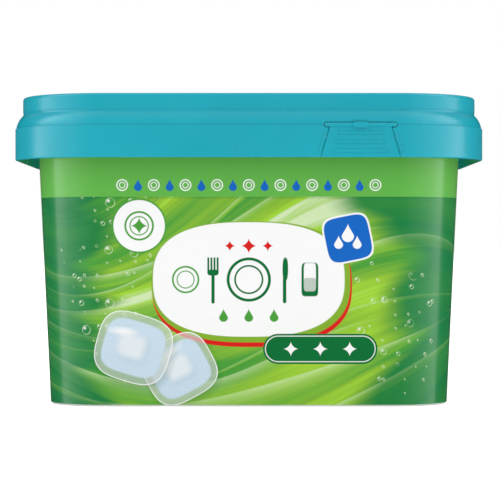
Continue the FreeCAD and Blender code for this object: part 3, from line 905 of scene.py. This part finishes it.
def draw_sides_and_back(sheet, inks, length):
    """Plain signs on the two sides, and two panels at the back, one each side of the seam."""
    across, up = split(sheet.tree, sheet.place)
    sides = sheet.at(abs(across) - length / 4, up)
    for height in (76, 50, 24):
        sides.draw(inks.white, sides.shape(0, height, 10.0, 10.0))
    sides.plate(inks.dark, 0, 76, 7.2)
    sides.glass(inks.dark, inks.white, 0, 50, 6.2)
    sides.drop(inks.blue, 0, 22, 4.0)

    back = sides.at(length / 2 - abs(across), up)
    middle = 36
    top, centre, bottom = rows = (74, 52, 30)
    back.draw(dimmed(inks.lime, 0.8), back.shape(middle, centre, 31.2, 37.2, 8.0))
    back.draw(inks.white, back.shape(middle, centre, 30, 36, 8.0))
    for height in rows:
        back.draw(inks.leaf, back.bar(middle, height - 11, 22.0, 0.3))
        back.draw(inks.dark, back.shape(middle - 18, height, 5.5, 4.6, 4.0))
        back.draw(inks.white, back.shape(middle - 18, height, 4.0, 3.2, 4.0, 0.0, 1.2))
        back.draw(inks.leaf, back.bar(middle - 6, height, 2.6, 0.5))
    back.glass(inks.dark, inks.white, middle + 8, top, 5.6)
    back.plate(inks.dark, middle + 8, centre, 6.2)
    back.sparkle(inks.dark, middle + 8, bottom, 6.5)
    sheet.colour = back.colour


def printed_label(settings, length, high):
    """Glossy printed film."""
    material, tree, shader = new_material("Printed Label")
    inks = label_inks(settings)
    place = label_place(tree, length, high)
    flow = flow_place(tree, place)
    ground, glow = flowing_field(tree, place, flow, inks)
    stream = Print(tree, flow, ground)
    draw_ribbons(stream, inks, glow)
    sheet = Print(tree, place, stream.colour)
    draw_bubbles(sheet, inks)
    draw_panel(sheet, inks)
    draw_signs(sheet, inks)
    for across, up, size, turn in ((-33, 18, 15, 0.5), (-55, 28, 16, -0.3)):
        sheet.tablet(inks.tablet, inks.white, dimmed(inks.dark, 0.7), across, up, size, turn)
    draw_band(sheet, inks, settings.band_height / MM)
    draw_sides_and_back(sheet, inks, length / MM)
    plug(tree, sheet.colour, shader.inputs["Base Color"])
    add_skin(tree, shader, settings, unevenness=0.08, strength=0.2, depth=LABEL_PEEL_DEPTH,
             grain_size=3.2 * MM, flow_size=40 * MM)
    return material


class TUB_OT_make_label(bpy.types.Operator):
    """Wrap the printed label round the tub"""

    bl_idname = "tablet_tub.make_label"
    bl_label = "Make Label"

    def execute(self, context):
        settings = context.scene.tub_label
        data, length, high = build_sleeve(settings)
        label = bpy.data.objects.new("label_sleeve", data)
        context.collection.objects.link(label)
        data.materials.append(printed_label(settings, length, high))
        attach(label, "tub")
        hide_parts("label")
        return {"FINISHED"}


# Tablets

TURN_NAME = "turn"
# How far the faces of a tablet crowd towards its rim
CROWDING = 0.35
# The powers that shape the pillow: how late it slopes down to its rim, and how steeply it gets there
PILLOW_REACH = 3.2
PILLOW_STEEPNESS = 0.45
RIPPLE = 0.05
WRINKLE_DEPTH = 0.6 * MM
GRAINS_PER_METRE = 1500.0
SPECKS_PER_METRE = 620.0
# A speck's radius as a share of its place, the share of places with none, and how strongly it shows
SPECK_RADIUS = 0.42
SPECKLESS = 0.84
SPECK_STRENGTH = 0.6


def islands(data):
    """The points of each separate solid in a mesh, in the mesh's order."""
    mesh = bmesh.new()
    mesh.from_mesh(data)
    bmesh.ops.remove_doubles(mesh, verts=mesh.verts, dist=0.01 * MM)
    seen = set()
    found = []
    for start in mesh.verts:
        if start in seen:
            continue
        seen.add(start)
        waiting = [start]
        group = []
        while waiting:
            vertex = waiting.pop()
            group.append(vertex.co.copy())
            for edge in vertex.link_edges:
                other = edge.other_vert(vertex)
                if other not in seen:
                    seen.add(other)
                    waiting.append(other)
        found.append(group)
    mesh.free()
    return found


def tablet_place(points):
    """Where a tablet's foot is, which way its long side points, and its size."""
    low = Vector([min(point[axis] for point in points) for axis in range(3)])
    high = Vector([max(point[axis] for point in points) for axis in range(3)])
    centre = (low + high) / 2
    waist = max(points, key=lambda point: (point - centre).xy.length).z
    ring = [(point - centre).xy for point in points if abs(point.z - waist) < 0.1 * MM]
    ring.sort(key=lambda spot: math.atan2(spot.y, spot.x))
    longest = max((ring[i - 1] - ring[i] for i in range(len(ring))), key=lambda side: side.length)
    turn = math.atan2(longest.y, longest.x)
    half_length = max(abs(spot.dot(heading(turn))) for spot in ring)
    half_width = max(abs(spot.cross(heading(turn))) for spot in ring)
    size = (half_length, half_width, waist - low.z, high.z - waist)
    return Vector((centre.x, centre.y, low.z)), turn, size


def tablet_tree():
    """Instances of one wrapped tablet on points that carry their turn."""
    tree, given, result = new_group("Wrapped Tablets", "GeometryNodeTree", {
        "Points": ("NodeSocketGeometry", None),
        "Half Length": number(0.018),
        "Half Width": number(0.0155),
        "Foot Depth": number(0.007),
        "Top Height": number(0.0095),
        "Flange": number(0.12),
        "Corner Pull": number(0.24),
        "Cells": ("NodeSocketInt", 12),
        "Material": ("NodeSocketMaterial", None),
    }, {"Tablets": "NodeSocketGeometry"})
    points = given["Cells"] + 1
    grid = add_node(tree, "GeometryNodeMeshGrid", {
        "Size X": 2.0, "Size Y": 2.0, "Vertices X": points, "Vertices Y": points,
    })
    position = add_node(tree, "GeometryNodeInputPosition").outputs[0]
    across, up = (
        (amount * QUARTER).sine() * CROWDING + amount * (1 - CROWDING) for amount in split(tree, position)
    )
    x = across * given["Half Length"] * (1 - given["Corner Pull"] * up * up).root()
    y = up * given["Half Width"] * (1 - given["Corner Pull"] * across * across).root()

    def full(amount):
        """1 in the middle, and 0 from the sealed edge on."""
        share = (abs(amount) / (1 - given["Flange"])).clamped()
        return (1 - share ** PILLOW_REACH).clamped() ** PILLOW_STEEPNESS

    fullness = full(across) * full(up)
    ripple = 1 + RIPPLE * ((across * 9).sine() * (up * 7).cosine())
    joined = tree.nodes.new("GeometryNodeJoinGeometry")
    for height, flip in ((given["Top Height"], False), (-given["Foot Depth"], True)):
        z = height * fullness * ripple / (1 + RIPPLE)
        side = add_node(tree, "GeometryNodeSetPosition", {
            "Geometry": grid.outputs["Mesh"], "Position": combined(tree, x, y, z),
        })
        if flip:
            side = add_node(tree, "GeometryNodeFlipFaces", {"Mesh": side.outputs[0]})
        tree.links.new(side.outputs[0], joined.inputs[0])
    merged = add_node(tree, "GeometryNodeMergeByDistance", {
        "Geometry": joined.outputs[0], "Distance": 0.05 * MM,
    })
    smooth = add_node(tree, "GeometryNodeSetShadeSmooth", {"Geometry": merged.outputs[0]})
    turn = add_node(tree, "GeometryNodeInputNamedAttribute", {"Name": TURN_NAME}, data_type="FLOAT_VECTOR")
    instances = add_node(tree, "GeometryNodeInstanceOnPoints", {
        "Points": given["Points"], "Instance": smooth.outputs[0], "Rotation": turn.outputs[0],
    })
    realized = add_node(tree, "GeometryNodeRealizeInstances", {"Geometry": instances.outputs[0]})
    painted = add_node(tree, "GeometryNodeSetMaterial", {
        "Geometry": realized.outputs[0], "Material": given["Material"],
    })
    return put_out(result, tablets=painted.outputs[0])


def socket_id(tree, name):
    """The identifier by which a modifier knows a group's input."""
    return next(item.identifier for item in tree.interface.items_tree
                if item.item_type == "SOCKET" and item.in_out == "INPUT" and item.name == name)


def tablet_film(settings):
    """Clear film over pale powder with specks."""
    material, tree, shader = new_material("Tablet Film")
    place = object_place(tree)
    powder = tuple(settings.powder_colour)
    grains = add_node(tree, "ShaderNodeTexVoronoi", {"Vector": place, "Scale": GRAINS_PER_METRE})
    specks = add_node(tree, "ShaderNodeTexVoronoi", {"Vector": place, "Scale": SPECKS_PER_METRE})
    chance = add_node(tree, "ShaderNodeSeparateColor", {"Color": specks.outputs["Color"]})
    inside = (SPECK_RADIUS - output_of(specks, "Distance")).over(0)
    speck = inside * output_of(chance, "Red").over(SPECKLESS)
    ground = mixed(tree, output_of(grains, "Distance"), dimmed(powder, 1.02), dimmed(powder, 0.88))
    speckled = mixed(tree, speck * SPECK_STRENGTH, ground, tuple(settings.speck_colour))
    plug(tree, speckled, shader.inputs["Base Color"])
    shader.inputs["Roughness"].default_value = 0.6
    shader.inputs["Coat Weight"].default_value = 0.9
    shader.inputs["Coat Roughness"].default_value = 0.08
    wrinkle = add_node(tree, "ShaderNodeTexNoise", {
        "Vector": place, "Scale": 210.0, "Detail": 4.0, "Distortion": 1.5,
    })
    normal = add_bump(tree, shader, output_of(wrinkle, "Fac"), 0.5, WRINKLE_DEPTH)
    plug(tree, normal, shader.inputs["Coat Normal"])
    return material


class TUB_OT_make_tablets(bpy.types.Operator):
    """Fill the tub with wrapped tablets"""

    bl_idname = "tablet_tub.make_tablets"
    bl_label = "Make Tablets"

    def execute(self, context):
        settings = context.scene.tub_tablets
        places = [tablet_place(points) for name in LAYERS for points in islands(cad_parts[name].data)]
        half_length, half_width, foot_depth, top_height = places[0][2]
        cloud = bpy.data.meshes.new("tablet_points")
        cloud.from_pydata([foot + Vector((0, 0, foot_depth)) for foot, _, _ in places], [], [])
        turns = cloud.attributes.new(TURN_NAME, "FLOAT_VECTOR", "POINT")
        for item, (_, turn, _) in zip(turns.data, places):
            item.vector = (0, 0, turn)
        maker = bpy.data.objects.new("tablet_points", cloud)
        context.collection.objects.link(maker)
        modifier = maker.modifiers.new("Wrapped Tablets", "NODES")
        modifier.node_group = tablet_tree()
        values = {
            "Half Length": half_length, "Half Width": half_width, "Foot Depth": foot_depth,
            "Top Height": top_height, "Flange": settings.flange, "Corner Pull": settings.corner_pull,
            "Cells": settings.cells, "Material": tablet_film(settings),
        }
        for name, value in values.items():
            modifier[socket_id(modifier.node_group, name)] = value
        graph = context.evaluated_depsgraph_get()
        data = bpy.data.meshes.new_from_object(maker.evaluated_get(graph))
        data.name = "tablets"
        tablets = bpy.data.objects.new("tablets", data)
        context.collection.objects.link(tablets)
        bpy.data.objects.remove(maker)
        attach(tablets, "tub")
        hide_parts(*LAYERS)
        return {"FINISHED"}


# Stage

SKY_STOPS = [
    # degrees round from the camera's side, brightness as a share of the softbox
    (0, 0.0),
    (20, 0.02),
    (45, 0.31),
    (70, 0.66),
    (84, 1.0),
    (97, 1.0),
    (102, 0.12),
    (118, 0.03),
    (150, 0.02),
    (180, 0.02),
]
# Where each part of the sky starts or ends, and over how much it fades. BACK_FROM and FILL_TO are radians
# round from the camera's side, and the others heights, from -1 straight down to 1 straight up. The dark belt
# has a lower and an upper end, and the ceiling comes down by CEILING_DROP at the back.
BACK_FROM = (1.9, 0.6)
FILL_TO = (0.5, 0.5)
FILL_FROM = (0.03, 1 / 12)
BELOW_FROM = (-0.2, 1 / 8)
LEVEL_FROM = (0.02, 1 / 8)
DARK_BELT = ((0.06, 1 / 14), (0.44, 1 / 8))
CEILING_HEIGHT = 0.66
CEILING_FADE = 1 / 2.4
CEILING_DROP = 0.3
# Brightness of the ceiling, the fill light and what lies below, and what three parts take off the softboxes
CEILING_LIGHT = 0.62
FILL_LIGHT = 0.08
BELOW_LIGHT = 0.1
BELOW_SHADE = 0.65
BELT_SHADE = 0.78
LEVEL_SHADE = 0.35
# The light from all round is stronger from above than from below
AMBIENT_MIDDLE = 0.94
AMBIENT_RISE = 0.3
FLOOR_GREY = 0.8
# The floor's own glow, which the camera sees twice as bright as the object does
FLOOR_GLOW = 0.3


def make_sky(settings):
    """White behind the object, even light on it, and softboxes at its sides for the gloss to show."""
    world = bpy.data.worlds.new("Studio")
    bpy.context.scene.world = world
    world.use_nodes = True
    tree = world.node_tree
    background = tree.nodes["Background"]
    background.inputs["Color"].default_value = (1, 1, 1, 1)
    direction = add_node(tree, "ShaderNodeTexCoord").outputs["Generated"]
    parts = add_node(tree, "ShaderNodeSeparateXYZ", {"Vector": direction})
    across, away, up = (output_of(parts, axis) for axis in "XYZ")
    level = (across * across + away * away).root().most(0.001)
    angle = reckon(tree, "ARCCOSINE", -away / level)
    stops = [(degrees / 180, (brightness,) * 3) for degrees, brightness in SKY_STOPS]
    softboxes = colour_ramp(tree, angle / math.pi, stops)

    ceiling = up.rises(CEILING_HEIGHT - angle.rises(*BACK_FROM) * CEILING_DROP, CEILING_FADE)
    below = up.falls(*BELOW_FROM)
    level_down = up.falls(*LEVEL_FROM) * (1 - below)
    belt = up.rises(*DARK_BELT[0]) * up.falls(*DARK_BELT[1])
    fill = angle.falls(*FILL_TO) * up.rises(*FILL_FROM) * FILL_LIGHT
    share = 1 - below * BELOW_SHADE - belt * BELT_SHADE - level_down * LEVEL_SHADE
    sides = Term(tree, softboxes) * settings.softbox * share + below * BELOW_LIGHT
    gloss = (sides + fill) * (1 - ceiling) + ceiling * CEILING_LIGHT

    rays = add_node(tree, "ShaderNodeLightPath")
    seen = output_of(rays, "Is Camera Ray")
    glossy = output_of(rays, "Is Glossy Ray")
    even = settings.ambient * (AMBIENT_MIDDLE + AMBIENT_RISE * up)
    light = gloss * glossy + even * (1 - glossy)
    plug(tree, seen + light * (1 - seen), background.inputs["Strength"])


def make_floor(settings):
    """A plain pale floor, a little brighter than the light makes it, and left out of reflections."""
    half = settings.floor_size / 2
    corners = [(-half, -half, 0), (half, -half, 0), (half, half, 0), (-half, half, 0)]
    data = bpy.data.meshes.new("floor")
    data.from_pydata(corners, [], [(0, 1, 2, 3)])
    floor = bpy.data.objects.new("floor", data)
    bpy.context.collection.objects.link(floor)
    material, tree, shader = new_material("Pale Floor")
    shader.inputs["Base Color"].default_value = (FLOOR_GREY, FLOOR_GREY, FLOOR_GREY, 1)
    shader.inputs["Roughness"].default_value = 0.9
    shader.inputs["Specular IOR Level"].default_value = 0.0
    shader.inputs["Emission Color"].default_value = (1, 1, 1, 1)
    rays = add_node(tree, "ShaderNodeLightPath")
    glow = FLOOR_GLOW + FLOOR_GLOW * output_of(rays, "Is Camera Ray")
    plug(tree, glow, shader.inputs["Emission Strength"])
    clear = tree.nodes.new("ShaderNodeBsdfTransparent")
    mix = add_node(tree, "ShaderNodeMixShader", {
        0: rays.outputs["Is Glossy Ray"], 1: shader.outputs[0], 2: clear.outputs[0],
    })
    tree.links.new(mix.outputs[0], tree.nodes["Material Output"].inputs["Surface"])
    data.materials.append(material)


def make_camera(settings):
    """A level camera in front of the lid."""
    data = bpy.data.cameras.new("camera")
    data.lens = settings.lens
    data.shift_y = settings.shift
    camera = bpy.data.objects.new("camera", data)
    bpy.context.collection.objects.link(camera)
    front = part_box("lid")[0].y
    camera.location = (settings.camera_across, front - settings.camera_reach, settings.camera_height)
    camera.rotation_euler = (QUARTER, 0, 0)
    bpy.context.scene.camera = camera


class TUB_OT_make_stage(bpy.types.Operator):
    """Set out the floor, the light and the camera"""

    bl_idname = "tablet_tub.make_stage"
    bl_label = "Make Stage"

    def execute(self, context):
        settings = context.scene.tub_stage
        make_sky(settings)
        make_floor(settings)
        make_camera(settings)
        context.scene.view_settings.view_transform = "Standard"
        return {"FINISHED"}


# Panel and registration


class TUB_PT_panel(bpy.types.Panel):
    """Steps that dress the tub"""

    bl_idname = "TUB_PT_panel"
    bl_label = "Tablet Tub"
    bl_space_type = "VIEW_3D"
    bl_region_type = "UI"
    bl_category = "Tablet Tub"

    def draw(self, context):
        for operator in OPERATORS:
            self.layout.operator(operator.bl_idname)


OPERATORS = (
    TUB_OT_make_stage,
    TUB_OT_finish_tub,
    TUB_OT_finish_lid,
    TUB_OT_make_label,
    TUB_OT_make_tablets,
)
SETTINGS = {
    "tub_stage": StageSettings,
    "tub_plastic": PlasticSettings,
    "tub_label": LabelSettings,
    "tub_tablets": TabletSettings,
}
CLASSES = (*SETTINGS.values(), *OPERATORS, TUB_PT_panel)


def register():
    for cls in CLASSES:
        bpy.utils.register_class(cls)
    for name, cls in SETTINGS.items():
        setattr(bpy.types.Scene, name, PointerProperty(type=cls))


def unregister():
    for name in SETTINGS:
        delattr(bpy.types.Scene, name)
    for cls in reversed(CLASSES):
        bpy.utils.unregister_class(cls)


def main():
    register()
    bpy.ops.tablet_tub.make_stage()
    bpy.ops.tablet_tub.finish_tub()
    bpy.ops.tablet_tub.finish_lid()
    bpy.ops.tablet_tub.make_label()
    bpy.ops.tablet_tub.make_tablets()


if __name__ == "__main__":
    main()
